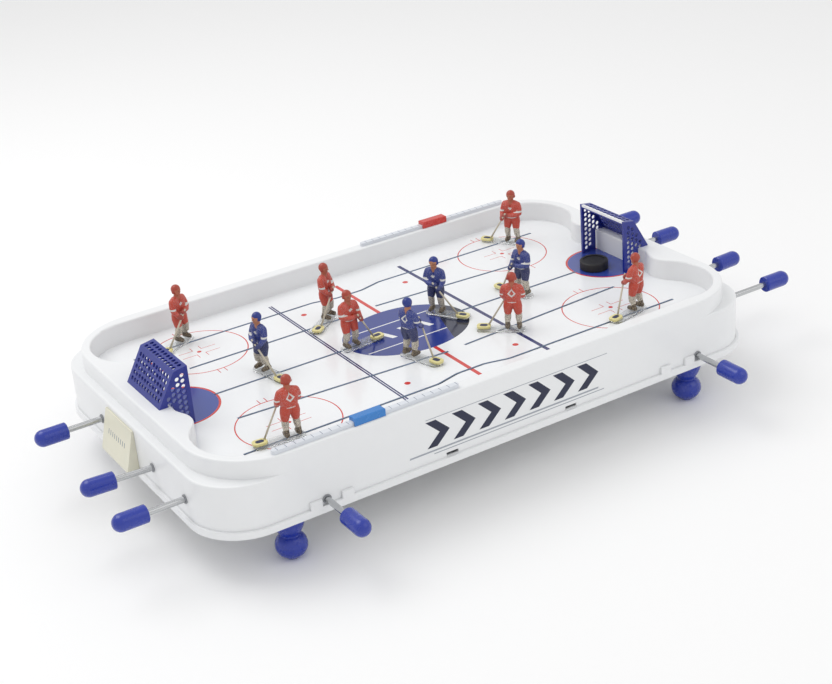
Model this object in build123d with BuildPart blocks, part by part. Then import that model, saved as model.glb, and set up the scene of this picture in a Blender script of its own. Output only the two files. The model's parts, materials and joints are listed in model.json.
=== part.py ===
"""Table-top rod ice-hockey game.

A white moulded rink stands on four turned legs. Eleven players stand in slots in the ice sheet.
Six of them are worked by rods through the end walls, which slide and spin. Five stay on fixed pegs:
four are turned by rods through the side walls, and one by an end rod and a cross shaft. All sizes are
in millimetres. +X runs along the rink, +Y across it and +Z is up. Pieces are drawn about the middle
of the rink, then moved together so that the origin is on the floor midway between the outer ends of
the grips.
"""
import os
from math import cos, hypot, radians, sin

from build123d import *

os.makedirs("parts", exist_ok=True)

# ---- heights above the floor ----
LEG_HEIGHT = 62.0
BODY_DEPTH = 64.0                       # underside of the tray to the ice
ICE = LEG_HEIGHT + BODY_DEPTH           # top of the ice sheet
RIM_TOP = ICE + 31.0
SHELF_TOP = ICE + 6.0                   # step outside the rim at both ends
END_ROD_Z = ICE - 30.0
SIDE_ROD_Z = ICE - 48.0

# ---- plan of the body ----
HALF_WIDTH = 250.0
HALF_LENGTH = 420.0
BODY_CORNER = 70.0
RIM_HALF_LENGTH = 408.0
RIM_CORNER = 95.0
WALL = 3.0
RIM_EDGE_ROUND = 2.5

# ---- rink outline: straight sides, round corners and a soft bulge beside each goal ----
RINK_HALF_WIDTH = 231.0
RINK_HALF_LENGTH = 394.0
RINK_CORNER = 70.0
BULGE_RADIUS = 35.0
BULGE_TURN = 42.0                       # degrees that the corner arc runs past the end wall's line
BULGE_RETURN = 30.0
GOAL_WALL_X = 375.0
GOAL_WALL_HALF = 64.0

# ---- base tray ----
TRAY_FLOOR = 3.0
LIP = 4.0                               # how far the tray stands out from the body
LIP_HEIGHT = 9.4
LIP_GAP_HALF = 46.0                     # opening in the lip below each chute cover
CHUTE_Y = 21.0                          # chute covers sit off the centre line
POST_RADIUS = 4.0
TAB_HEIGHT = 19.0
TAB_CENTRES = (-290.0, -246.0, 252.0, 294.0)
TAB_LENGTH = 16.0
CLIP_WINDOWS = [(-93, -1), (93, -1), (-150, 1), (150, 1)]
POST_SPOTS = [(360, 215), (240, 215), (120, 215), (0, 215), (340, 130), (170, 130), (0, 130)]
SCREW_SPOTS = [(412, 148), (240, 242), (0, 242)]
LEG_SPOT = (315, 222)
LEG_SPIGOT = 8.0
BOSS_RADIUS = 6.0
SCREW_RADIUS = 1.8

# ---- ice sheet ----
ICE_THICKNESS = 2.0
SLOT_WIDTH = 4.2
OUTER_SLOT_Y = 168.5
OUTER_SLOT_END = 338.0
OUTER_SLOT_DIP = 9.0
INNER_SLOT_MID_Y = 97.0                 # where an inner slot's line meets the red line
INNER_ROD_WALL_Y = 73.0                 # where the same line meets the end wall
CENTRE_SLOT_FROM = 62.0
CENTRE_SLOT_TO = 296.0

# ---- rods, grips and gears ----
ROD_RADIUS = 4.0
RUNNING_GAP = 0.3
GRIP_RADIUS = 11.5
GRIP_LENGTH = 44.0
GRIP_BORE = 30.0
BUSH_RADIUS = 6.0
BUSH_FLANGE = 1.0
BUSH_LIFT = 0.5                         # keeps a slanted bushing's flange off the wall
BUSH_RIM = 1.2
GEAR_NEAR = 5.0                         # bevel gears run between these distances from the axes' meeting point
GEAR_FAR = 10.0
GEAR_GAP = 0.4
END_GRIP_GAP_LEFT = 50.0                # from the end wall to the grip
END_GRIP_GAP_RIGHT = 92.0
SIDE_GRIP_GAP = 50.0
BEARING_AWAY = 19.0                     # middle of a bearing from the axes' meeting point
BEARING_BORE = 60.0                     # how far a bearing's bore is cut from there
CARRIAGE_LOW = -12.0                    # underside of a sliding carriage, from its rod
POST_TOP = 9.0                          # top of a plain bearing post, from its rod
RINK_X = (END_GRIP_GAP_LEFT - END_GRIP_GAP_RIGHT) / 2       # middle of the rink, from the origin

# ---- players ----
PLATE_FROM, PLATE_TO = -33.0, 34.0      # base plate along its length, from the peg
PLATE_WIDTH = 19.0
PLATE_LIFT = 1.0
PLATE_THICKNESS = 2.4
FEET_X = -17.0                          # middle of the two feet, from the peg
FOOT_SPREAD = 8.0
NECK_RADIUS = 1.6
COLLAR_RADIUS = 3.0

# ---- goals ----
GOAL_HALF = 51.0
GOAL_FRONT_X = 347.0
GOAL_HEIGHT = 79.0
NET = 2.0
NET_HOLE = 2.9

# ---- score counters ----
RAIL_LENGTH = 262.0
RAIL_WIDTH = 8.0
RAIL_HEIGHT = 5.0
RAIL_X = 203.0
RAIL_Y = 241.0
SLIDER_SIZE = (43.0, 13.6, 10.0)

PUCK_RADIUS = 21.0
PUCK_HEIGHT = 13.0
PUCK_PLACE = (326, -6)

# Players on sliding end rods: name, end (-1 or +1), rod's y at the end wall and at the red line,
# peg's x at rest, direction of the blade in degrees, side that the player faces (-1 or +1).
END_PLAYERS = [
    ("left_near_wing", -1, -OUTER_SLOT_Y, -OUTER_SLOT_Y, -288, 174, -1),
    ("left_near_inner", -1, -INNER_ROD_WALL_Y, -INNER_SLOT_MID_Y, -36, 285, 1),
    ("left_far_inner", -1, 92, 92, -80, 216, 1),
    ("right_near_wing", 1, -OUTER_SLOT_Y, -OUTER_SLOT_Y, 258, 194, -1),
    ("right_near_inner", 1, -INNER_ROD_WALL_Y, -INNER_SLOT_MID_Y, 98, 138, -1),
    ("right_far_wing", 1, OUTER_SLOT_Y, OUTER_SLOT_Y, 284, 122, 1),
]
# Players on side rods: name, side (-1 or +1), rod's x, peg's (x, y), blade direction, facing.
SIDE_PLAYERS = [
    ("left_far_wing", 1, -274, (-274, OUTER_SLOT_Y), 207, 1),
    ("left_centre", -1, -274, (-212, 0), 280, -1),
    ("middle_centre", 1, -72, (-72, 0), 8, -1),
    ("right_centre", -1, 310, (185, 0), 100, 1),
]
# Players on fixed pegs beside an end rod: name, end, rod's y, peg's (x, y), blade direction, facing.
FIXED_END_PLAYERS = [("right_far_inner", 1, INNER_ROD_WALL_Y, (70, 0), 300, -1)]


def save(part, name):
    """Move a finished piece to the origin's frame, label it and write it under its node's name."""
    placed = part.moved(Location((RINK_X, 0, 0)))
    placed.label = name
    export_step(placed, f"parts/{name}.step")


def body_outline(half_length, corner, grow=0.0):
    """A rounded rectangle as wide as the body."""
    RectangleRounded(2 * (half_length + grow), 2 * (HALF_WIDTH + grow), corner + grow)


def rink_edges(grow=0.0):
    """The rink's closed edge, grown outwards."""
    corner_x = RINK_HALF_LENGTH - RINK_CORNER
    corner_y = RINK_HALF_WIDTH - RINK_CORNER
    reach = RINK_CORNER + BULGE_RADIUS
    turn = radians(BULGE_TURN)
    bulge = (corner_x + reach * cos(turn), corner_y - reach * sin(turn))
    back = radians(180 + BULGE_RETURN)
    bulge_end = (bulge[0] + (BULGE_RADIUS - grow) * cos(back), bulge[1] + (BULGE_RADIUS - grow) * sin(back))
    with BuildLine() as outline:
        Line((0, RINK_HALF_WIDTH + grow), (corner_x, RINK_HALF_WIDTH + grow))
        CenterArc((corner_x, corner_y), RINK_CORNER + grow, 90, -90 - BULGE_TURN)
        CenterArc(bulge, BULGE_RADIUS - grow, 180 - BULGE_TURN, BULGE_TURN + BULGE_RETURN)
        Line(bulge_end, (GOAL_WALL_X + grow, GOAL_WALL_HALF))
        Line((GOAL_WALL_X + grow, GOAL_WALL_HALF), (GOAL_WALL_X + grow, 0))
        mirror(about=Plane.XZ)
        mirror(about=Plane.YZ)
    return outline.edges()


def end_rod_plane(end, wall_y, mid_y, at_x):
    """Plane across an end rod where it passes x = at_x, with its normal towards the grip."""
    slope = (wall_y - mid_y) / (end * HALF_LENGTH)
    return Plane(origin=(at_x, mid_y + slope * at_x, END_ROD_Z), x_dir=(0, 0, 1), z_dir=(end, end * slope, 0))


def side_rod_plane(side, at_x, at_y):
    """Plane across a side rod at y = at_y, with its normal towards the grip."""
    return Plane(origin=(at_x, at_y, SIDE_ROD_Z), x_dir=(0, 0, 1), z_dir=(0, side, 0))


def bushing_planes():
    """Where the rods leave the body: planes in the outer face, looking outwards."""
    ends = [end_rod_plane(end, wall_y, mid_y, end * HALF_LENGTH)
            for _, end, wall_y, mid_y, _, _, _ in END_PLAYERS]
    ends += [end_rod_plane(end, rod_y, rod_y, end * HALF_LENGTH)
             for _, end, rod_y, _, _, _ in FIXED_END_PLAYERS]
    sides = [side_rod_plane(side, rod_x, side * HALF_WIDTH) for _, side, rod_x, _, _, _ in SIDE_PLAYERS]
    return ends + sides


def all_quarters(spots):
    """The same spots in all four quarters of the plan, each once."""
    return sorted({(sx * x, sy * y) for x, y in spots for sx in (-1, 1) for sy in (-1, 1)})


SCREW_PLACES = all_quarters(SCREW_SPOTS)
POST_PLACES = all_quarters(POST_SPOTS)
LEG_PLACES = all_quarters([LEG_SPOT])


def inner_slots():
    """Ends of the slots between the outer runs: one under each inner rod and two on the centre line."""
    slope = (INNER_ROD_WALL_Y - INNER_SLOT_MID_Y) / HALF_LENGTH
    slanted = ((-1, -1, -6, 302), (1, -1, 34, 304), (1, 1, 8, 262))
    ends = [tuple((sx * x, sy * (INNER_SLOT_MID_Y + slope * x)) for x in (near, far))
            for sx, sy, near, far in slanted]
    ends.append(((-289, 92), (-50, 92)))
    ends += [((end * CENTRE_SLOT_FROM, 0), (end * CENTRE_SLOT_TO, 0)) for end in (-1, 1)]
    return ends


INNER_SLOTS = inner_slots()


# ---- upper shell: skirt, end shelves, hollow rim and the rink's wall in one moulding ----
SKIRT_BOTTOM = LEG_HEIGHT + TRAY_FLOOR
with BuildPart() as shell:
    with BuildSketch(Plane.XY.offset(SKIRT_BOTTOM)):
        body_outline(HALF_LENGTH, BODY_CORNER)
    extrude(amount=SHELF_TOP - SKIRT_BOTTOM)
    fillet(shell.edges().group_by(Axis.Z)[-1], RIM_EDGE_ROUND)
    with BuildSketch(Plane.XY.offset(SHELF_TOP - WALL)):
        body_outline(RIM_HALF_LENGTH, RIM_CORNER)
    extrude(amount=RIM_TOP - SHELF_TOP + WALL)
    fillet(shell.edges().group_by(Axis.Z)[-1], RIM_EDGE_ROUND)
    with BuildSketch(Plane.XY.offset(SKIRT_BOTTOM)):
        body_outline(HALF_LENGTH, BODY_CORNER, -WALL)
    extrude(amount=SHELF_TOP - WALL - SKIRT_BOTTOM, mode=Mode.SUBTRACT)
    with BuildSketch(Plane.XY.offset(ICE)):
        body_outline(RIM_HALF_LENGTH, RIM_CORNER, -WALL)
    extrude(amount=RIM_TOP - WALL - ICE, mode=Mode.SUBTRACT)
    with BuildSketch(Plane.XY.offset(ICE)):
        make_face(rink_edges(WALL))
    extrude(amount=RIM_TOP - ICE)
    with BuildSketch(Plane.XY.offset(ICE)):
        make_face(rink_edges())
    extrude(amount=RIM_TOP - ICE, mode=Mode.SUBTRACT)
    rim_face = shell.faces().filter_by(Plane.XY).sort_by(Axis.Z)[-1]
    fillet(rim_face.inner_wires()[0].edges(), RIM_EDGE_ROUND)
    with BuildSketch(Plane.XY.offset(SKIRT_BOTTOM)):
        with Locations(*SCREW_PLACES):
            Circle(BOSS_RADIUS)
    extrude(amount=ICE - ICE_THICKNESS - 4 - SKIRT_BOTTOM)
    with BuildSketch(Plane.XY.offset(SKIRT_BOTTOM)):
        with Locations(*SCREW_PLACES):
            Circle(SCREW_RADIUS)
    extrude(amount=16, mode=Mode.SUBTRACT)
    for place in bushing_planes():
        with BuildSketch(place.offset(-2 * WALL)):
            Circle(BUSH_RADIUS - BUSH_FLANGE)
        extrude(amount=4 * WALL, mode=Mode.SUBTRACT)
    with Locations(*[(x, side * HALF_WIDTH, LEG_HEIGHT + 12.5) for x, side in CLIP_WINDOWS]):
        Box(18, 4 * WALL, 4.5, mode=Mode.SUBTRACT)
save(shell.part, "upper_shell")


# ---- ice sheet, held under the rink's wall, with a slot for every player's run ----
with BuildPart() as ice_sheet:
    with BuildSketch(Plane.XY.offset(ICE - ICE_THICKNESS)):
        body_outline(HALF_LENGTH, BODY_CORNER, -WALL - RUNNING_GAP)
    extrude(amount=ICE_THICKNESS)
    with BuildSketch(Plane.XY.offset(ICE - ICE_THICKNESS)):
        for side in (-1, 1):
            with BuildLine() as run:
                FilletPolyline(*[(x, side * y) for x, y in (
                    (-OUTER_SLOT_END, OUTER_SLOT_Y), (-56, OUTER_SLOT_Y),
                    (-22, OUTER_SLOT_Y - OUTER_SLOT_DIP), (22, OUTER_SLOT_Y - OUTER_SLOT_DIP),
                    (56, OUTER_SLOT_Y), (OUTER_SLOT_END, OUTER_SLOT_Y))],
                    radius=30)
            trace(run.line, line_width=SLOT_WIDTH)
        for start, end in INNER_SLOTS:
            with BuildLine() as run:
                Line(start, end)
            trace(run.line, line_width=SLOT_WIDTH)
    extrude(amount=ICE_THICKNESS, mode=Mode.SUBTRACT)
save(ice_sheet.part, "ice_sheet")

# ---- base tray: floor, lip with locating tabs, and posts that carry the ice sheet ----
with BuildPart() as tray:
    with BuildSketch(Plane.XY.offset(LEG_HEIGHT)):
        body_outline(HALF_LENGTH, BODY_CORNER, LIP)
    extrude(amount=LIP_HEIGHT)
    with BuildSketch(Plane.XY.offset(LEG_HEIGHT)):
        with Locations(*[(x, side * (HALF_WIDTH + 0.2 + LIP / 2)) for x in TAB_CENTRES for side in (-1, 1)]):
            Rectangle(TAB_LENGTH, LIP - 0.4)
    extrude(amount=TAB_HEIGHT)
    with BuildSketch(Plane.XY.offset(SKIRT_BOTTOM)):
        body_outline(HALF_LENGTH, BODY_CORNER, 0.2)
    extrude(amount=LIP_HEIGHT, mode=Mode.SUBTRACT)
    for end in (-1, 1):
        with Locations((end * (HALF_LENGTH + LIP), -end * CHUTE_Y, SKIRT_BOTTOM)):
            Box(3 * LIP, 2 * LIP_GAP_HALF, LIP_HEIGHT, align=(Align.CENTER, Align.CENTER, Align.MIN),
                mode=Mode.SUBTRACT)
    with BuildSketch(Plane.XY.offset(SKIRT_BOTTOM)):
        with Locations(*POST_PLACES):
            Circle(POST_RADIUS)
    extrude(amount=ICE - ICE_THICKNESS - SKIRT_BOTTOM)
    with BuildSketch(Plane.XY.offset(LEG_HEIGHT)):
        with Locations(*SCREW_PLACES):
            Circle(SCREW_RADIUS + 0.4)
        with Locations(*LEG_PLACES):
            Circle(LEG_SPIGOT)
    extrude(amount=TRAY_FLOOR, mode=Mode.SUBTRACT)
save(tray.part, "base_tray")

with BuildPart() as screws:
    for x, y in SCREW_PLACES:
        with BuildSketch(Plane((x, y, LEG_HEIGHT - 1.8))):
            Circle(2 * SCREW_RADIUS)
        extrude(amount=1.8)
        with BuildSketch(Plane((x, y, LEG_HEIGHT))):
            Circle(SCREW_RADIUS)
        extrude(amount=15)
save(screws.part, "tray_screws")

# ---- four turned legs: a cup, a neck and a ball foot, plugged into the tray ----
for name, (x, y) in zip(("left_near", "left_far", "right_near", "right_far"), LEG_PLACES):
    with BuildPart() as leg:
        with BuildSketch(Plane.XZ.offset(-y)):
            with BuildLine():
                Polyline((x, LEG_HEIGHT + TRAY_FLOOR), (x + LEG_SPIGOT, LEG_HEIGHT + TRAY_FLOOR),
                         (x + LEG_SPIGOT, LEG_HEIGHT), (x + 21, LEG_HEIGHT), (x + 21, LEG_HEIGHT - 4))
                ThreePointArc((x + 21, LEG_HEIGHT - 4), (x + 18.5, 44), (x + 12.5, 33))
                Line((x + 12.5, 33), (x + 12.5, 31))
                ThreePointArc((x + 12.5, 31), (x + 20.5, 18), (x + 13, 3))
                Polyline((x + 13, 3), (x + 10, 0), (x, 0), (x, LEG_HEIGHT + TRAY_FLOOR))
            make_face()
        revolve(axis=Axis((x, y, 0), (0, 0, 1)))
    save(leg.part, f"leg_{name}")

# ---- bushings that line the rod holes ----
with BuildPart() as bushings:
    for place in bushing_planes():
        with BuildSketch(place.offset(-2 * WALL)):
            Circle(BUSH_RADIUS - BUSH_FLANGE)
            Circle(ROD_RADIUS + RUNNING_GAP, mode=Mode.SUBTRACT)
        extrude(amount=2 * WALL + BUSH_LIFT)
        with BuildSketch(place.offset(BUSH_LIFT)):
            Circle(BUSH_RADIUS)
            Circle(ROD_RADIUS + RUNNING_GAP, mode=Mode.SUBTRACT)
        extrude(amount=BUSH_RIM)
save(bushings.part, "rod_bushings")


# ---- goals: a net moulding whose back rests on the rim ----
def goal(end):
    """Perforated goal at one end of the rink."""
    outside = [(GOAL_FRONT_X + 1, 0), (GOAL_FRONT_X, GOAL_HEIGHT), (366, 76), (392, 31), (373, 31), (373, 0)]
    inside = [(330, -5), (330, GOAL_HEIGHT - NET), (365, GOAL_HEIGHT - 5), (389, 31.8), (380, -5)]
    with BuildPart() as net:
        for points, half, mode in ((outside, GOAL_HALF, Mode.ADD), (inside, GOAL_HALF - NET, Mode.SUBTRACT)):
            with BuildSketch(Plane.XZ.offset(-half)):
                with BuildLine():
                    Polyline(*[(end * x, ICE + z) for x, z in points], close=True)
                make_face()
            extrude(amount=2 * half, mode=mode)
        with BuildSketch(Plane.XZ.offset(-GOAL_HALF)):
            for column in range(5):
                for row in range(9):
                    x, z = 355.5 + 7.2 * column, 7 + 7.6 * row + 3.8 * (column % 2)
                    if z < 30 and x > 368:
                        continue
                    if z > 72 - 1.75 * max(0, x - 361):
                        continue
                    with Locations((end * x, ICE + z)):
                        Circle(NET_HOLE)
        extrude(amount=2 * GOAL_HALF, mode=Mode.SUBTRACT)
        back = Plane(origin=(end * 379, 0, ICE + 53.6), x_dir=(0, 1, 0), z_dir=(end * 44.7, 0, 26))
        with BuildSketch(back.offset(-2 * NET)):
            with GridLocations(8.4, 8.2, 11, 5):
                Circle(NET_HOLE)
        extrude(amount=4 * NET, mode=Mode.SUBTRACT)
        with BuildSketch(Plane.XY.offset(ICE + GOAL_HEIGHT - 8)):
            with Locations((end * 357.5, 0)):
                with GridLocations(8, 8.4, 2, 11):
                    Circle(NET_HOLE)
        extrude(amount=12, mode=Mode.SUBTRACT)
        for y in (-GOAL_HALF + 2, GOAL_HALF - 2):
            with Locations((end * (GOAL_FRONT_X + 2), y, ICE)):
                Box(4, 4, GOAL_HEIGHT - 1, align=(Align.CENTER, Align.CENTER, Align.MIN))
        with Locations((end * (GOAL_FRONT_X + 2), 0, ICE + GOAL_HEIGHT - 3.2)):
            Box(4, 2 * GOAL_HALF, 4)
    return net.part


save(goal(-1), "goal_left")
save(goal(1), "goal_right")

# ---- chute covers: cream flaps over the puck outlet at each end ----
with BuildPart() as covers:
    for end in (-1, 1):
        low, high = SKIRT_BOTTOM + 4, SKIRT_BOTTOM + 60
        with BuildSketch(Plane.XZ.offset(end * CHUTE_Y - 43)):
            with BuildLine():
                Polyline((end * (HALF_LENGTH + 0.2), low), (end * (HALF_LENGTH + 16), low),
                         (end * (HALF_LENGTH + 16), low + 3), (end * (HALF_LENGTH + 2.5), high),
                         (end * (HALF_LENGTH + 0.2), high), close=True)
            make_face()
        extrude(amount=86)
save(covers.part, "chute_covers")

# ---- score counters: a rail on each long rim with a sliding pointer ----
for name, side in (("near", -1), ("far", 1)):
    centre = (side * RAIL_X, side * RAIL_Y)
    with BuildPart() as rail:
        with Locations((*centre, RIM_TOP)):
            Box(RAIL_LENGTH, RAIL_WIDTH, RAIL_HEIGHT, align=(Align.CENTER, Align.CENTER, Align.MIN))
        fillet(rail.edges().filter_by(Axis.Z), RAIL_WIDTH / 2 - 0.5)
    save(rail.part, f"score_rail_{name}")
    with BuildPart() as slider:
        with Locations((*centre, RIM_TOP + RUNNING_GAP)):
            Box(*SLIDER_SIZE, align=(Align.CENTER, Align.CENTER, Align.MIN))
            Box(SLIDER_SIZE[0], RAIL_WIDTH + 2 * RUNNING_GAP, RAIL_HEIGHT,
                align=(Align.CENTER, Align.CENTER, Align.MIN), mode=Mode.SUBTRACT)
        fillet(slider.edges().group_by(Axis.Z)[-1], 1.5)
    save(slider.part, f"score_slider_{name}")

with BuildPart() as puck:
    with Locations((*PUCK_PLACE, ICE + 0.1)):
        Cylinder(PUCK_RADIUS, PUCK_HEIGHT, align=(Align.CENTER, Align.CENTER, Align.MIN))
    chamfer(puck.edges().filter_by(GeomType.CIRCLE), 1.0)
    with Locations((*PUCK_PLACE, ICE + 0.1 + PUCK_HEIGHT)):
        Cylinder(PUCK_RADIUS - 5, 2.0, mode=Mode.SUBTRACT)
save(puck.part, "puck")


# ---- rods, grips, carriages and players ----
def along(across):
    """Plane through a rod's axis: its x is across the rod and its y runs towards the grip."""
    return Plane(origin=across.origin, x_dir=across.x_dir, z_dir=across.x_dir.cross(across.z_dir))


def build_rod(name, across, length):
    """Steel rod; across is the plane through the gears' meeting point, facing the grip."""
    with BuildPart() as rod:
        with BuildSketch(along(across)):
            with BuildLine():
                Polyline((0, GEAR_NEAR), (GEAR_NEAR - GEAR_GAP, GEAR_NEAR), (GEAR_FAR - GEAR_GAP, GEAR_FAR),
                         (ROD_RADIUS, GEAR_FAR), (ROD_RADIUS, length), (0, length), close=True)
            make_face()
        revolve(axis=Axis(across.origin, across.z_dir))
    save(rod.part, f"rod_{name}")


def build_grip(name, across, start):
    """Round-ended plastic grip that begins at start along the rod and is pressed on to it."""
    end = start + GRIP_LENGTH
    with BuildPart() as grip:
        with BuildSketch(along(across)):
            with BuildLine():
                Polyline((0, start + GRIP_BORE), (ROD_RADIUS, start + GRIP_BORE), (ROD_RADIUS, start),
                         (GRIP_RADIUS - 1, start), (GRIP_RADIUS, start + 1), (GRIP_RADIUS, end - GRIP_RADIUS))
                RadiusArc((GRIP_RADIUS, end - GRIP_RADIUS), (0, end), -GRIP_RADIUS)
                Line((0, end), (0, start + GRIP_BORE))
            make_face()
        revolve(axis=Axis(across.origin, across.z_dir))
    save(grip.part, f"grip_{name}")


def hanger(across, low, plate_low, plate_high):
    """Block that carries a rod beside its pinion, with a plate over the gears for the peg."""
    stand = Plane(origin=across.origin, x_dir=across.z_dir, z_dir=(0, 0, 1))
    with BuildPart(stand) as block:
        with Locations((BEARING_AWAY, 0, low)):
            Box(14, 18, plate_high - low, align=(Align.CENTER, Align.CENTER, Align.MIN))
        with Locations((3, 0, plate_low)):
            Box(30, 18, plate_high - plate_low, align=(Align.CENTER, Align.CENTER, Align.MIN))
        with BuildSketch(across):
            Circle(ROD_RADIUS + RUNNING_GAP)
        extrude(amount=BEARING_BORE, mode=Mode.SUBTRACT)
        with Locations((0, 0, plate_low - 1)):
            Cylinder(NECK_RADIUS + RUNNING_GAP, plate_high - plate_low + 2,
                     align=(Align.CENTER, Align.CENTER, Align.MIN), mode=Mode.SUBTRACT)
    return block.part


def rod_post(across):
    """Plain bearing post on the tray, with a bore for a rod."""
    stand = Plane(origin=across.origin, x_dir=across.z_dir, z_dir=(0, 0, 1))
    floor = SKIRT_BOTTOM - across.origin.Z
    with BuildPart(stand) as post:
        with Locations((BEARING_AWAY, 0, floor)):
            Box(12, 16, POST_TOP - floor, align=(Align.CENTER, Align.CENTER, Align.MIN))
        with BuildSketch(across):
            Circle(ROD_RADIUS + RUNNING_GAP)
        extrude(amount=BEARING_BORE, mode=Mode.SUBTRACT)
    return post.part


def limb(start, end, radius):
    """Round bar between two points of the player's own frame."""
    direction = Vector(*end) - Vector(*start)
    with Locations(Plane(origin=start, z_dir=direction)):
        Cylinder(radius, direction.length, align=(Align.CENTER, Align.CENTER, Align.MIN))


def build_player(rod_z, plate_low, facing):
    """Player on a base plate, about its peg where it passes the ice; the blade is towards +X."""
    up = (Align.CENTER, Align.CENTER, Align.MIN)
    top = PLATE_LIFT + PLATE_THICKNESS
    gear = rod_z - ICE
    collar_top = gear + plate_low - 0.4
    with BuildPart() as player:
        with Locations(((PLATE_FROM + PLATE_TO) / 2, 0, PLATE_LIFT)):
            Box(PLATE_TO - PLATE_FROM, PLATE_WIDTH, PLATE_THICKNESS, align=up)
        fillet(player.edges().filter_by(Axis.Z), 6)
        with Locations((FEET_X - FOOT_SPREAD, facing, top - 0.5), (FEET_X + FOOT_SPREAD, facing, top - 0.5)):
            Box(7.5, 16, 7.5, align=up)
        for side in (-1, 1):
            foot = FEET_X + side * FOOT_SPREAD
            limb((foot, 0, top + 2), (FEET_X + 5.5 * side, 0, top + 38), 5.4)
            limb((FEET_X + 13 * side, 0, top + 64), (FEET_X + 13 * side, 9 * facing, top + 45), 4.2)
            limb((FEET_X + 13 * side, 9 * facing, top + 45), (FEET_X + 11, 13 * facing, top + 40), 3.6)
        for height, width, depth in ((34, 13, 8.5), (66, 15, 8)):
            with BuildSketch(Plane.XY.offset(top + height)):
                with Locations((FEET_X, 0)):
                    Ellipse(width, depth)
        loft()
        limb((FEET_X + 11, 13 * facing, top + 42), (FEET_X + 35, 5 * facing, top + 3), 1.4)
        with Locations((FEET_X + 42, 3 * facing, top - 0.5)):
            Box(17, 6, 6.5, align=up)
        with Locations((FEET_X, facing, top + 76)):
            Sphere(8.2)
        limb((FEET_X, 0, top + 62), (FEET_X, 0, top + 74), 4.5)
        limb((0, 0, collar_top - 0.5), (0, 0, PLATE_LIFT + 1), NECK_RADIUS)
        limb((0, 0, gear + GEAR_FAR - 0.5), (0, 0, collar_top), COLLAR_RADIUS)
        with Locations((0, 0, gear + GEAR_NEAR)):
            Cone(GEAR_NEAR - GEAR_GAP, GEAR_FAR - GEAR_GAP, GEAR_FAR - GEAR_NEAR, align=up)
    return player.part


def place_player(name, peg, heading, figure):
    """Stand a finished player on its peg with its blade along the heading."""
    turn = radians(heading)
    stand = Plane(origin=(*peg, ICE), x_dir=(cos(turn), sin(turn), 0), z_dir=(0, 0, 1))
    save(figure.moved(stand.location), f"player_{name}")


END_PLATE = (21.0, 27.0)                # peg plate of a carriage, above its rod
SIDE_PLATE = (14.0, 20.0)               # the same on a fixed bearing block
END_FIGURES = {facing: build_player(END_ROD_Z, END_PLATE[0], facing) for facing in (-1, 1)}
SIDE_FIGURES = {facing: build_player(SIDE_ROD_Z, SIDE_PLATE[0], facing) for facing in (-1, 1)}

for name, end, wall_y, mid_y, peg_x, heading, facing in END_PLAYERS:
    meeting = end_rod_plane(end, wall_y, mid_y, peg_x)
    run = hypot(end * HALF_LENGTH - peg_x, (wall_y - mid_y) * (1 - peg_x / (end * HALF_LENGTH)))
    reach = run + (END_GRIP_GAP_LEFT if end < 0 else END_GRIP_GAP_RIGHT)
    build_rod(name, meeting, reach + GRIP_BORE)
    build_grip(name, meeting, reach)
    save(hanger(meeting, CARRIAGE_LOW, *END_PLATE), f"carriage_{name}")
    place_player(name, (meeting.origin.X, meeting.origin.Y), heading, END_FIGURES[facing])


def build_cross_shaft(name, at_peg, span):
    """Shaft with a bevel gear at each end, from beside the peg to beside the rod."""
    with BuildPart() as shaft:
        with BuildSketch(along(at_peg)):
            with BuildLine():
                Polyline((0, GEAR_NEAR), (GEAR_NEAR - GEAR_GAP, GEAR_NEAR), (GEAR_FAR - GEAR_GAP, GEAR_FAR),
                         (ROD_RADIUS, GEAR_FAR), (ROD_RADIUS, span - GEAR_FAR),
                         (GEAR_FAR - GEAR_GAP, span - GEAR_FAR), (GEAR_NEAR - GEAR_GAP, span - GEAR_NEAR),
                         (0, span - GEAR_NEAR), close=True)
            make_face()
        revolve(axis=Axis(at_peg.origin, at_peg.z_dir))
    save(shaft.part, f"cross_shaft_{name}")


def build_fixed_unit(name, meeting, reach, peg, plate):
    """Rod, grip and bearings of a player on a fixed peg; returns the bearing blocks.

    Where the peg stands off the rod's line, a cross shaft carries the turn to it.
    """
    build_rod(name, meeting, reach + GRIP_BORE)
    build_grip(name, meeting, reach)
    floor = SKIRT_BOTTOM - meeting.origin.Z
    away = Vector(*peg, meeting.origin.Z) - meeting.origin
    if away.length < 1:
        return [hanger(meeting, floor, *plate)]
    towards_peg = away.normalized()
    at_rod = Plane(origin=meeting.origin, x_dir=(0, 0, 1), z_dir=towards_peg)
    at_peg = Plane(origin=(*peg, meeting.origin.Z), x_dir=(0, 0, 1), z_dir=-towards_peg)
    build_cross_shaft(name, at_peg, away.length)
    return [rod_post(meeting), rod_post(at_rod), hanger(at_peg, floor, *plate)]


blocks = []
for name, side, rod_x, peg, heading, facing in SIDE_PLAYERS:
    reach = HALF_WIDTH - side * peg[1] + SIDE_GRIP_GAP
    blocks += build_fixed_unit(name, side_rod_plane(side, rod_x, peg[1]), reach, peg, SIDE_PLATE)
    place_player(name, peg, heading, SIDE_FIGURES[facing])
for name, end, rod_y, peg, heading, facing in FIXED_END_PLAYERS:
    reach = HALF_LENGTH - end * peg[0] + END_GRIP_GAP_RIGHT
    blocks += build_fixed_unit(name, end_rod_plane(end, rod_y, rod_y, peg[0]), reach, peg, END_PLATE)
    place_player(name, peg, heading, END_FIGURES[facing])
save(Compound(children=blocks), "bearing_blocks")
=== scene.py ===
"""Looks of a table-top rod ice-hockey game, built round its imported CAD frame. All lengths are in metres."""
import json
from math import atan2, cos, pi, radians, sin

import bmesh
import bpy
import numpy as np
from mathutils import Matrix, Vector


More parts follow.
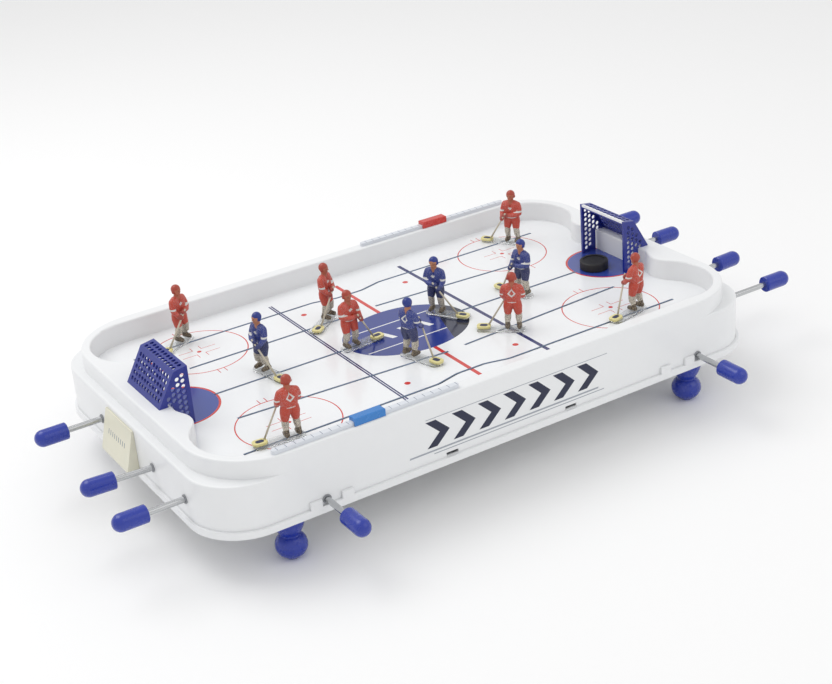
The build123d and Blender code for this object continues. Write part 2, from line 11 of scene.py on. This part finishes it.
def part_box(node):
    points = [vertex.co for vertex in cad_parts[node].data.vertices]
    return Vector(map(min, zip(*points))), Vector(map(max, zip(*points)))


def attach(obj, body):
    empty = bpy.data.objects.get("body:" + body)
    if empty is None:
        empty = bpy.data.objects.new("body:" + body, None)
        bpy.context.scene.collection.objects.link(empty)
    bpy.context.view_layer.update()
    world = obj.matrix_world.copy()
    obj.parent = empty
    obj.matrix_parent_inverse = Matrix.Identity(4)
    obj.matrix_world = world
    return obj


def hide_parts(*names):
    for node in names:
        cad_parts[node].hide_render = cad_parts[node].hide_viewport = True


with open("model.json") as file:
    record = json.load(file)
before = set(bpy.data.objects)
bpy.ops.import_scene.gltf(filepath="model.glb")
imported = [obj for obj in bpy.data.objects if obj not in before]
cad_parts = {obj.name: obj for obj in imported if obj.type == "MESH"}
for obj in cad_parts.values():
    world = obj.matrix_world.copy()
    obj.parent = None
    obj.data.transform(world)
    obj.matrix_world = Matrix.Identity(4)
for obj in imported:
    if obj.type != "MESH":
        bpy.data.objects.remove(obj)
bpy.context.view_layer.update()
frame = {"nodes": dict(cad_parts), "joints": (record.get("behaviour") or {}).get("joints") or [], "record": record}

MM = 0.001
SHELL_LOW, SHELL_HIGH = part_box("upper_shell")
RINK_X = (SHELL_LOW.x + SHELL_HIGH.x) / 2           # middle of the rink along X
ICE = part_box("ice_sheet")[1].z                      # top of the ice sheet
RIM = SHELL_HIGH.z                                  # top of the rim
JOINTS = {j["name"]: j for j in frame["joints"]}
PLAYERS = sorted(n[len("player_"):] for n in frame["nodes"] if n.startswith("player_"))
BLUE_TEAM = ("left_centre", "left_near_inner", "right_centre", "right_far_inner")

# ---- colours, linear ----
WHITE = (0.83, 0.84, 0.85)
ICE_WHITE = (0.87, 0.885, 0.90)
ROYAL = (0.012, 0.035, 0.36)
NAVY = (0.012, 0.016, 0.125)
OVAL_BLUE = (0.018, 0.038, 0.25)
CREASE_BLUE = (0.03, 0.06, 0.32)
RED = (0.62, 0.035, 0.025)
SHIRT_RED = (0.56, 0.052, 0.022)
SHIRT_BLUE = (0.012, 0.032, 0.24)
SHORTS_BLUE = (0.018, 0.026, 0.12)
SKIN = (0.50, 0.21, 0.11)
CREAM = (0.76, 0.74, 0.60)
INK = (0.012, 0.016, 0.05)
AZURE = (0.02, 0.20, 0.58)
NET_BLUE = (0.010, 0.022, 0.27)
SLOT_SHADE_SLATE = (0.42, 0.52, 0.70)                    # painted shade: the slot walls get this slate colour to stand in for the dim inside of the slots


# ---------------------------------------------------------------- materials
class Field:
    """A number at each point of a surface, worked out by Math nodes."""

    def __init__(self, tree, socket):
        self.tree = tree
        self.socket = socket

    def math(self, operation, *others):
        node = self.tree.nodes.new("ShaderNodeMath")
        node.operation = operation
        for i, value in enumerate((self, *others)):
            if isinstance(value, Field):
                self.tree.links.new(value.socket, node.inputs[i])
            else:
                node.inputs[i].default_value = value
        return Field(self.tree, node.outputs[0])

    def __add__(self, other):
        return self.math("ADD", other)

    def __sub__(self, other):
        return self.math("SUBTRACT", other)

    def __mul__(self, other):
        return self.math("MULTIPLY", other)

    def __truediv__(self, other):
        return self.math("DIVIDE", other)

    def __abs__(self):
        return self.math("ABSOLUTE")

    def below(self, limit):
        """1 where the field is less than limit, and 0 elsewhere."""
        return self.math("LESS_THAN", limit)

    def above(self, limit):
        return self.math("GREATER_THAN", limit)

    def near(self, value, reach):
        """1 within reach of value."""
        return abs(self - value).below(reach)

    def either(self, other):
        return self.math("MAXIMUM", other)

    def reach_to(self, other):
        """Length of the vector whose two parts are these fields."""
        return (self * self + other * other).math("SQRT")


def surface_point(tree):
    """The surface point's X, Y and Z in the row frame."""
    nodes = tree.nodes
    source = nodes.new("ShaderNodeTexCoord")
    split = nodes.new("ShaderNodeSeparateXYZ")
    tree.links.new(source.outputs["Object"], split.inputs[0])
    return [Field(tree, split.outputs[i]) for i in range(3)]


def noise(tree, scale, detail=3.0):
    nodes = tree.nodes
    source = nodes.new("ShaderNodeTexCoord")
    texture = nodes.new("ShaderNodeTexNoise")
    texture.inputs["Scale"].default_value = scale
    texture.inputs["Detail"].default_value = detail
    tree.links.new(source.outputs["Object"], texture.inputs["Vector"])
    return Field(tree, texture.outputs["Fac"])


def mix(tree, mask, under, over):
    """Colour under, covered by colour over where mask is 1; each is a socket or three numbers."""
    node = tree.nodes.new("ShaderNodeMix")
    node.data_type = "RGBA"
    tree.links.new(mask.socket, node.inputs["Factor"])
    for value, socket in ((under, node.inputs[6]), (over, node.inputs[7])):
        if isinstance(value, bpy.types.NodeSocket):
            tree.links.new(value, socket)
        else:
            socket.default_value = (*value, 1)
    return node.outputs[2]


def material(name, colour, rough=0.35, metal=0.0, coat=0.0, grain=900.0, bump=0.04, shade=0.06, paint=None,
             patchy=60.0):
    """Moulded or metal surface: its colour and gloss wander a little and its skin has a fine grain.

    paint(tree, colour socket) returns the colour with markings on it.
    """
    made = bpy.data.materials.new(name)
    made.use_nodes = True
    tree = made.node_tree
    shader = tree.nodes["Principled BSDF"]
    shader.inputs["Metallic"].default_value = metal
    shader.inputs["Coat Weight"].default_value = coat
    shader.inputs["Coat Roughness"].default_value = 0.12
    wander = noise(tree, patchy)
    darker = tuple(c * (1 - shade) for c in colour)
    base = mix(tree, wander, darker, colour)
    if paint:
        base = paint(tree, base)
    tree.links.new(base, shader.inputs["Base Color"])
    gloss = noise(tree, patchy * 1.7) * (rough * 0.35) + rough * 0.82
    tree.links.new(gloss.socket, shader.inputs["Roughness"])
    relief = tree.nodes.new("ShaderNodeBump")
    relief.inputs["Strength"].default_value = bump
    relief.inputs["Distance"].default_value = 0.2 * MM
    tree.links.new(noise(tree, grain, 2.0).socket, relief.inputs["Height"])
    tree.links.new(relief.outputs[0], shader.inputs["Normal"])
    return made


# ---- ice markings, drawn from the middle of the rink ----
LINE_X = 110.4 * MM                                 # blue lines
DOT = (86 * MM, 140 * MM)                           # neutral dots
CIRCLE = (256 * MM, 131.4 * MM)                     # face-off circles
CIRCLE_RADIUS = 67.7 * MM
CENTRE_OVAL = (94 * MM, 73 * MM)
CREASE_X = 350 * MM
CREASE_RADIUS = 56 * MM
LINE_REACH = 199 * MM                               # half length of the lines across the rink


def paint_ice(tree, base):
    x, y, z = surface_point(tree)
    x = x - RINK_X
    top = z.above(ICE - 0.1 * MM)
    ax, ay = abs(x), abs(y)
    across = ay.below(LINE_REACH)

    red_line = ax.near(0.0, 3.0 * MM) * across
    parting = (x + LINE_X).near(0.0, 0.55 * MM)      # the left blue line is printed as two
    blue_lines = ax.near(LINE_X, 3.0 * MM) * across
    dots = (ax - DOT[0]).reach_to(ay - DOT[1]).below(4.2 * MM)

    u, v = ax - CIRCLE[0], ay - CIRCLE[1]
    au, av = abs(u), abs(v)
    ring = u.reach_to(v).near(CIRCLE_RADIUS, 0.85 * MM)
    spot = u.reach_to(v).below(3.2 * MM)
    tee_long = av.near(7.5 * MM, 0.5 * MM) * au.near(17 * MM, 11 * MM)
    tee_short = au.near(6.5 * MM, 0.5 * MM) * av.near(12.5 * MM, 5.5 * MM)
    ticks = au.near(5 * MM, 0.6 * MM) * av.near(CIRCLE_RADIUS + 6 * MM, 5.5 * MM)
    circles = ring.either(spot).either(tee_long).either(tee_short).either(ticks)

    oval = (x / CENTRE_OVAL[0]).reach_to(y / CENTRE_OVAL[1])
    stripes = ay.near(33 * MM, 1.1 * MM)
    bars = (x + y * 0.4).math("PINGPONG", 15 * MM).below(4 * MM) * ay.below(12 * MM) * ax.below(52 * MM)
    shaded = oval.below(1.0) * (x - y * 0.3).above(56 * MM)

    crease = (ax - CREASE_X).reach_to(y)
    in_crease = crease.below(CREASE_RADIUS)
    crease_edge = crease.near(CREASE_RADIUS, 1.6 * MM)

    for mask, colour in ((blue_lines, NAVY), (blue_lines * parting, ICE_WHITE), (red_line, RED),
                         (dots.either(circles), RED), (oval.below(1.0), OVAL_BLUE),
                         (stripes.either(bars) * oval.below(0.97), WHITE), (shaded, INK),
                         (in_crease, CREASE_BLUE), (crease_edge, RED)):
        base = mix(tree, mask * top, base, colour)
    # painted shade: everything below the ice top, which is the slot walls, is coloured slate
    return mix(tree, z.below(ICE - 0.1 * MM), base, SLOT_SHADE_SLATE)


def paint_rail(tree, base):
    """Short tick marks at even steps along a score rail."""
    x, _, z = surface_point(tree)
    tick = x.math("PINGPONG", 6.0 * MM).below(0.45 * MM)
    return mix(tree, tick * z.above(RIM + 4.9 * MM), base, (0.22, 0.25, 0.32))


def paint_crossbar_highlight(tree, base):
    """A painted highlight: a white strip along the top of a goal's crossbar, standing in for the light on its top
    face.
    """
    x, y, z = surface_point(tree)
    bar = (x - RINK_X).near(349 * MM, 2.6 * MM) * z.above(ICE + 75.6 * MM) * abs(y).below(47 * MM)
    return mix(tree, bar, base, WHITE)


def paint_chute(tree, base):
    """A short row of marks across each chute cover, which stands 21 mm off the centre line."""
    x, y, z = surface_point(tree)
    from_middle = y + (x - RINK_X).math("SIGN") * (21 * MM)
    marks = from_middle.math("PINGPONG", 3.2 * MM).below(0.9 * MM) * abs(from_middle).below(27 * MM)
    return mix(tree, marks * z.near(SHELL_LOW.z + 35 * MM, 3.4 * MM), base, (0.20, 0.22, 0.26))


def mottle(colour, amount):
    """Paint rule for hand-worn figure paint: pale flecks through a strong colour."""
    def rule(tree, base):
        flecks = noise(tree, 1500.0, 4.0).above(1 - amount)
        return mix(tree, flecks, base, colour)
    return rule


MATERIALS = {
    "shell_white": material("shell_plastic", WHITE, 0.36, coat=0.15, grain=700, bump=0.05, shade=0.025),
    "ice_white": material("ice_plastic", ICE_WHITE, 0.2, coat=0.35, bump=0.02, shade=0.02, paint=paint_ice),
    "blue_plastic": material("blue_plastic", ROYAL, 0.27, coat=0.3, shade=0.18),
    "red_plastic": material("red_plastic", RED, 0.28, coat=0.3, shade=0.15),
    "net_blue": material("net_plastic", NET_BLUE, 0.3, coat=0.2, shade=0.2),
    "steel": material("rod_steel", (0.56, 0.57, 0.58), 0.24, metal=1.0, grain=2600, bump=0.08, shade=0.12),
    "bush_grey": material("bushing_plastic", (0.30, 0.31, 0.33), 0.45, shade=0.12),
    "rail_grey": material("rail_plastic", (0.70, 0.73, 0.78), 0.3, coat=0.2, shade=0.05, paint=paint_rail),
    "cream": material("cream_plastic", CREAM, 0.38, shade=0.07, paint=paint_chute),
    "gear_grey": material("gear_plastic", (0.55, 0.55, 0.54), 0.42, shade=0.1),
    "rubber_black": material("puck_rubber", (0.012, 0.012, 0.013), 0.5, grain=1600, bump=0.25, shade=0.3),
}
for row in frame["record"]["subparts"]:
    if row["material_slot"] in MATERIALS:
        data = frame["nodes"][row["node"]].data
        data.materials.clear()
        data.materials.append(MATERIALS[row["material_slot"]])

azure = material("azure_plastic", AZURE, 0.27, coat=0.3, shade=0.12)
# goal_right gets a copy of the net plastic that carries the painted crossbar highlight
crossbar_highlight_look = material("net_with_crossbar_highlight", NET_BLUE, 0.3, coat=0.2, shade=0.2, paint=paint_crossbar_highlight)
for node, look in (("score_slider_near", azure), ("goal_right", crossbar_highlight_look)):
    looks = frame["nodes"][node].data.materials
    looks.clear()
    looks.append(look)

# ---------------------------------------------------------------- printed and applied graphics
PRINT_LIFT = 0.08 * MM


def flat_print(name, outlines, to_world, look, body):
    """Thin printed shapes: closed outlines in a plane, placed by a 4x4 matrix whose Z is outwards."""
    bm = bmesh.new()
    for outline in outlines:
        corners = [bm.verts.new(to_world @ Vector((u, v, PRINT_LIFT))) for u, v in outline]
        bm.faces.new(corners)
    mesh = bpy.data.meshes.new(name)
    bm.to_mesh(mesh)
    bm.free()
    mesh.materials.append(look)
    made = bpy.data.objects.new(name, mesh)
    bpy.context.scene.collection.objects.link(made)
    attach(made, body)
    return made


def slanted(left, right, low, high, lean=0.35):
    """A bar that leans to the right as it rises."""
    return [(left + low * lean, low), (right + low * lean, low), (right + high * lean, high),
            (left + high * lean, high)]


INK_LOOK = material("navy_print", INK, 0.42, shade=0.1)
GREY_LOOK = material("grey_print", (0.36, 0.39, 0.44), 0.45, shade=0.1)
# near wall: chevrons over two speed lines, about the middle of the rink
near_wall = Matrix.Translation((RINK_X, SHELL_LOW.y, ICE - 16 * MM)) @ Matrix.Rotation(radians(90), 4, "X")


def chevrons():
    """A row of arrowheads along the wall."""
    point, thick, tall = 19.5 * MM, 15 * MM, 18.4 * MM
    first, pitch = -129 * MM, 39 * MM
    made = []
    for step in range(7):
        x = first + step * pitch
        made.append([(x, -tall), (x + thick, -tall), (x + thick + point, 0), (x + thick, tall), (x, tall),
                     (x + point, 0)])
    return made


flat_print("side_chevrons", chevrons(), near_wall, INK_LOOK, "root")
flat_print("side_speed_lines", [slanted(-147 * MM, 147 * MM, -24.5 * MM, -22.2 * MM),
                                slanted(-110 * MM, 158 * MM, -28.5 * MM, -27.3 * MM),
                                slanted(-136 * MM, 147 * MM, 21.2 * MM, 22.1 * MM)],
           near_wall, GREY_LOOK, "root")


# ---------------------------------------------------------------- players
def spine(points, radii):
    return list(zip(points, radii))


def bones():
    """The figure's limbs as chains of (point, radius) in millimetres, with what each is made of.

    X is towards the blade, +Y is the way the player faces, and Z is up from the top of the base plate.
    """
    chains = []
    for side in (-1, 1):
        chains += [
            ("boot", spine([(8.2 * side, -4.2, 4.4), (8 * side, 0.5, 4.2), (8 * side, 5.6, 3.6)],
                           [3.4, 3.7, 2.9])),
            ("boot", spine([(8.2 * side, -2.8, 5), (8 * side, -2.2, 9.5)], [3.4, 3.5])),
            ("sock", spine([(8 * side, -1.6, 10), (7.6 * side, 0.2, 17), (7.3 * side, 1.2, 22.5)],
                           [3.6, 4.7, 4.5])),
            ("sock", spine([(7.5 * side, 2.8, 14), (7.2 * side, 3.4, 22)], [3.1, 3.6])),
            ("shorts", spine([(7.0 * side, 0.6, 26), (6.2 * side, -0.8, 34), (5 * side, -1.2, 39)],
                             [5.6, 6.9, 7.2])),
            ("shirt", spine([(4 * side, -0.8, 43), (4.6 * side, -1.2, 51), (6.2 * side, -1, 59)],
                            [7.1, 7.4, 7.0])),
            ("shirt", spine([(5 * side, -1, 62.5), (10.4 * side, -0.8, 61)], [5.2, 4.8])),
            ("arm", spine([(11.2 * side, -0.6, 60), (13.2 * side, 0.6, 54), (13.8 * side, 2.6, 48.5)],
                          [4.6, 4.3, 4.0])),
        ]
    chains += [
        ("arm", spine([(13.8, 2.6, 48.5), (12.6, 8, 43.5)], [4.0, 3.3])),
        ("glove", spine([(12.0, 9.6, 42), (11.2, 12.4, 40.6)], [3.7, 3.3])),
        ("arm", spine([(-13.8, 2.6, 48.5), (-6, 8.6, 46.6), (1, 10.4, 46.8)], [4.0, 3.5, 3.2])),
        ("glove", spine([(3, 11, 47), (6.6, 13, 47.2)], [3.6, 3.2])),
        ("skin", spine([(0, -0.4, 64), (0, 0.2, 70)], [4.2, 4.0])),
        ("skin", spine([(0, 0.9, 72.6), (0, 0.8, 76.4)], [5.0, 6.1])),
        ("skin", spine([(0, 3.2, 70.8), (0, 4.0, 71.0)], [3.0, 2.4])),
        ("skin", spine([(0, 6.5, 75.4), (0, 7.3, 74.2)], [0.8, 1.0])),
        ("helmet", spine([(0, 0.0, 76.8), (0, -0.2, 77.2)], [6.7, 6.7])),
        ("helmet", spine([(-5.6, -0.6, 74.8), (-5.8, -0.6, 73.6)], [1.9, 1.5])),
        ("helmet", spine([(5.6, -0.6, 74.8), (5.8, -0.6, 73.6)], [1.9, 1.5])),
    ]
    return chains


def add_limb(bm, start, end, r0, r1):
    """A bar with ball ends between two points."""
    a, b = Vector(start), Vector(end)
    axis = b - a
    turn = axis.to_track_quat("Z", "Y").to_matrix().to_4x4()
    bmesh.ops.create_cone(bm, segments=20, radius1=r0, radius2=r1, depth=axis.length, cap_ends=True,
                          matrix=Matrix.Translation((a + b) / 2) @ turn)
    for point, radius in ((a, r0), (b, r1)):
        bmesh.ops.create_uvsphere(bm, u_segments=20, v_segments=14, radius=radius,
                                  matrix=Matrix.Translation(point))


def distance_to(points, a, b, r0, r1):
    """How far each point is outside a limb."""
    a, b = np.array(a, float), np.array(b, float)
    d = b - a
    t = np.clip(((points - a) @ d) / max(d @ d, 1e-9), 0, 1)
    return np.linalg.norm(points - a - t[:, None] * d, axis=1) - (r0 + (r1 - r0) * t)


STICK_TOP, STICK_HEEL = (4.2, 15.0, 50.5), (35.0, 5.0, 3.2)
FIGURE_LOOKS = ("shirt", "trim", "shorts", "sock", "boot", "skin", "helmet", "glove", "plate", "stick",
                "blade", "spot", "eye")


def sculpt(name):
    """One moulded player as a mesh whose faces say what they are made of; it faces +Y."""
    chains = bones()
    bm = bmesh.new()
    for _, chain in chains:
        for (start, r0), (end, r1) in zip(chain, chain[1:]):
            add_limb(bm, start, end, r0, r1)
    mesh = bpy.data.meshes.new(name)
    bm.to_mesh(mesh)
    bm.free()
    rough = bpy.data.objects.new(name, mesh)
    bpy.context.scene.collection.objects.link(rough)
    remesh = rough.modifiers.new("skin", "REMESH")
    remesh.mode = "VOXEL"
    remesh.voxel_size = 0.62
    smooth = rough.modifiers.new("soften", "SMOOTH")
    smooth.factor, smooth.iterations = 0.5, 3
    bpy.context.view_layer.update()
    body = bpy.data.meshes.new_from_object(rough.evaluated_get(bpy.context.evaluated_depsgraph_get()))
    bpy.data.objects.remove(rough)

    count = len(body.polygons)
    centres = np.zeros(count * 3)
    body.polygons.foreach_get("center", centres)
    centres = centres.reshape(-1, 3)
    kinds, gaps = [], []
    for kind, chain in chains:
        for (start, r0), (end, r1) in zip(chain, chain[1:]):
            kinds.append(kind)
            gaps.append(distance_to(centres, start, end, r0, r1))
    nearest = np.array(gaps).argmin(axis=0)
    chosen = np.array([kinds[i] for i in nearest], dtype=object)
    x, y, z = centres.T
    chosen[(chosen == "helmet") & (y > 2.6) & (z < 77.6)] = "skin"
    hem = (chosen == "shirt") & (z > 38) & (z < 42.2)
    cuff = (chosen == "arm") & (z > 50.5) & (z < 53.2)
    from_mark = abs(x) + abs(z - 55)
    back_mark = (chosen == "shirt") & (y < -4.0) & (abs(from_mark - 4.6) < 1.3)
    crest = (chosen == "shirt") & (y > 4.0) & (abs(x) + abs(z - 56) < 3.2)
    chosen[hem | cuff | back_mark | crest] = "trim"
    chosen[chosen == "arm"] = "shirt"
    eyes = (chosen == "skin") & (y > 3) & (abs(abs(x) - 2.3) < 0.75) & (abs(z - 75.7) < 0.55)
    chosen[eyes] = "eye"
    index = np.array([FIGURE_LOOKS.index(k) for k in chosen], dtype=np.int32)
    body.materials.clear()
    for look in FIGURE_LOOKS:
        body.materials.append(None)
    body.polygons.foreach_set("material_index", index)

    bm = bmesh.new()
    bm.from_mesh(body)

    def tagged(look, build):
        """Add geometry and give its faces a look."""
        known = set(bm.faces)
        build()
        for face in bm.faces:
            if face not in known:
                face.material_index = FIGURE_LOOKS.index(look)

    tagged("stick", lambda: add_limb(bm, STICK_TOP, STICK_HEEL, 1.15, 1.3))
    for side in (-1, 1):
        runner = [(8 * side, -6.4, 0.9), (8 * side, 7.4, 0.9)]
        tagged("trim", lambda ends=runner: add_limb(bm, ends[0], ends[1], 0.7, 0.7))
    tagged("plate", lambda: add_slab(bm, (17.5, 0), 67, 19, 6.5, -2.4, 0))
    tagged("blade", lambda: add_slab(bm, (42, 3.2), 19, 14, 5.0, 0, 3.0))
    tagged("spot", lambda: add_slab(bm, (42, 3.2), 11, 7, 3.0, 3.0, 3.35))
    bm.to_mesh(body)
    bm.free()
    for polygon in body.polygons:
        polygon.use_smooth = FIGURE_LOOKS[polygon.material_index] not in ("plate", "blade", "spot")
    return body


def add_slab(bm, centre, length, width, corner, low, high):
    """A flat plate with round corners and a softened top edge."""
    rings = []
    for z, inset in ((low, 0.0), (high - 0.35, 0.0), (high, 0.35)):
        ring = []
        for quarter in range(4):
            sx, sy = (1, -1, -1, 1)[quarter], (1, 1, -1, -1)[quarter]
            for step in range(7):
                turn = pi / 2 * (quarter + step / 6)
                reach = corner - inset
                ring.append(bm.verts.new((centre[0] + sx * (length / 2 - corner) + reach * cos(turn),
                                          centre[1] + sy * (width / 2 - corner) + reach * sin(turn), z)))
        rings.append(ring)
    for lower, upper in zip(rings, rings[1:]):
        for i in range(len(lower)):
            j = (i + 1) % len(lower)
            bm.faces.new((lower[i], lower[j], upper[j], upper[i]))
    bm.faces.new(rings[-1])
    bm.faces.new(list(reversed(rings[0])))


def figure_looks(team, shirt, shorts):
    """Materials of one team's figures, in the order of FIGURE_LOOKS."""
    flecks = (0.66, 0.60, 0.50)
    plain = {
        "shirt": (shirt, 0.42, mottle(tuple(0.5 * c + 0.22 for c in shirt), 0.42)),
        "trim": ((0.74, 0.73, 0.70), 0.45, None),
        "shorts": (shorts, 0.45, mottle(tuple(0.6 * c + 0.12 for c in shorts), 0.42)),
        "sock": ((0.055, 0.05, 0.06), 0.5, mottle(flecks, 0.54)),
        "boot": ((0.06, 0.045, 0.04), 0.45, mottle((0.42, 0.33, 0.20), 0.44)),
        "skin": (SKIN if team == "blue" else (0.47, 0.13, 0.07), 0.48, None),
        "helmet": (shirt if team == "blue" else (0.42, 0.055, 0.03), 0.3, None),
        "glove": (tuple(0.6 * c + 0.03 for c in shirt), 0.45, None),
        "stick": ((0.62, 0.56, 0.44), 0.4, None),
        "spot": ((0.012, 0.016, 0.07), 0.4, None),
        "eye": ((0.03, 0.02, 0.02), 0.4, None),
    }
    looks = {k: material(f"{team}_{k}", c, r, coat=0.1, grain=1800, bump=0.12, shade=0.2, paint=p,
                         patchy=400.0)
             for k, (c, r, p) in plain.items()}
    looks["plate"] = material(f"{team}_plate", (0.93, 0.94, 0.94), 0.14, coat=0.3, shade=0.02)
    plate_shader = looks["plate"].node_tree.nodes["Principled BSDF"]
    plate_shader.inputs["Transmission Weight"].default_value = 0.92
    plate_shader.inputs["IOR"].default_value = 1.12
    looks["blade"] = material(f"{team}_blade", (0.78, 0.70, 0.30), 0.3, coat=0.2, shade=0.12)
    return [looks[k] for k in FIGURE_LOOKS]


def stance(name):
    """A player's peg, turn and facing side, read from its CAD solid."""
    peg = Vector(JOINTS[f"{name}_player_spin"]["pos_m"])
    points = [v.co - peg for v in frame["nodes"][f"player_{name}"].data.vertices]
    crown = max(points, key=lambda p: p.z)
    away = Vector((-crown.x, -crown.y, 0)).normalized()
    side_on = Vector((0, 0, 1)).cross(away)
    at_hands = [p.dot(side_on) for p in points if 40 * MM < p.z < 50 * MM]
    facing = 1 if max(at_hands) > -min(at_hands) else -1
    heading = atan2(away.y, away.x) + facing * FEET_TO_CROWN
    return peg, heading, facing


FEET_X = -17.0                                      # middle of the feet from the peg, in millimetres
FEET_TO_CROWN = atan2(1.0, -FEET_X)                 # the crown stands 1 mm forward of the feet's middle
PLATE_TOP = 3.4
TEAMS = {"red": figure_looks("red", SHIRT_RED, SHIRT_RED),
         "blue": figure_looks("blue", SHIRT_BLUE, SHORTS_BLUE)}
FIGURE = sculpt("figure")
figure_meshes = {}
for team, looks in TEAMS.items():
    for facing in (-1, 1):
        mesh = FIGURE.copy()
        mesh.name = f"figure_{team}_{'front' if facing > 0 else 'back'}"
        for place_in_list, look in enumerate(looks):
            mesh.materials[place_in_list] = look
        to_peg = Matrix.Translation((FEET_X * MM, 0, PLATE_TOP * MM))
        mesh.transform(to_peg @ Matrix.Diagonal((MM, facing * MM, MM, 1)))
        if facing < 0:
            mesh.flip_normals()
        figure_meshes[team, facing] = mesh
for name in PLAYERS:
    peg, heading, facing = stance(name)
    team = "blue" if name in BLUE_TEAM else "red"
    figure = bpy.data.objects.new(f"figure_{name}", figure_meshes[team, facing])
    bpy.context.scene.collection.objects.link(figure)
    figure.matrix_world = Matrix.Translation(peg) @ Matrix.Rotation(heading, 4, "Z")
    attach(figure, f"player_{name}")
    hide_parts(f"player_{name}")

# ---------------------------------------------------------------- stage, lights and camera
FLOOR_REACH = 12.0
floor_mesh = bpy.data.meshes.new("floor")
floor_mesh.from_pydata([(-FLOOR_REACH, -FLOOR_REACH, 0), (FLOOR_REACH, -FLOOR_REACH, 0),
                        (FLOOR_REACH, FLOOR_REACH, 0), (-FLOOR_REACH, FLOOR_REACH, 0)], [], [(0, 1, 2, 3)])
floor_mesh.materials.append(material("floor", (0.93, 0.93, 0.93), 0.7, bump=0.0, shade=0.0, patchy=1.0))
floor = bpy.data.objects.new("floor", floor_mesh)
bpy.context.scene.collection.objects.link(floor)

world = bpy.data.worlds.new("studio")
world.use_nodes = True
world.node_tree.nodes["Background"].inputs["Color"].default_value = (1, 1, 1, 1)
world.node_tree.nodes["Background"].inputs["Strength"].default_value = 0.80
bpy.context.scene.world = world


def softbox(name, spot, aim, size, power):
    light = bpy.data.lights.new(name, "AREA")
    light.shape = "SQUARE"
    light.size = size
    light.energy = power
    lamp = bpy.data.objects.new(name, light)
    bpy.context.scene.collection.objects.link(lamp)
    lamp.location = spot
    lamp.rotation_mode = "QUATERNION"
    lamp.rotation_quaternion = (Vector(aim) - Vector(spot)).to_track_quat("-Z", "Y")


softbox("key", (-0.9, 1.1, 2.4), (0, 0, 0.1), 1.8, 24)
softbox("fill", (1.2, -2.0, 1.9), (0, 0, 0.1), 2.2, 9)

CAMERA_AZIMUTH = -30.34
CAMERA_ELEVATION = 25.62
CAMERA_ROLL = -4.845
CAMERA_DISTANCE = 2.119
AIM = Vector((RINK_X - 11.6 * MM, -43.6 * MM, ICE))
LENS = 67.2
azimuth, elevation = radians(CAMERA_AZIMUTH), radians(CAMERA_ELEVATION)
back = Vector((sin(azimuth) * cos(elevation), -cos(azimuth) * cos(elevation), sin(elevation)))
lens = bpy.data.cameras.new("camera")
lens.lens = LENS
lens.sensor_width = 36
camera = bpy.data.objects.new("camera", lens)
bpy.context.scene.collection.objects.link(camera)
camera.location = AIM + back * CAMERA_DISTANCE
camera.rotation_mode = "QUATERNION"
roll = Matrix.Rotation(radians(CAMERA_ROLL), 4, "Z").to_quaternion()
camera.rotation_quaternion = (-back).to_track_quat("-Z", "Y") @ roll
bpy.context.scene.camera = camera
bpy.context.scene.view_settings.view_transform = "Standard"
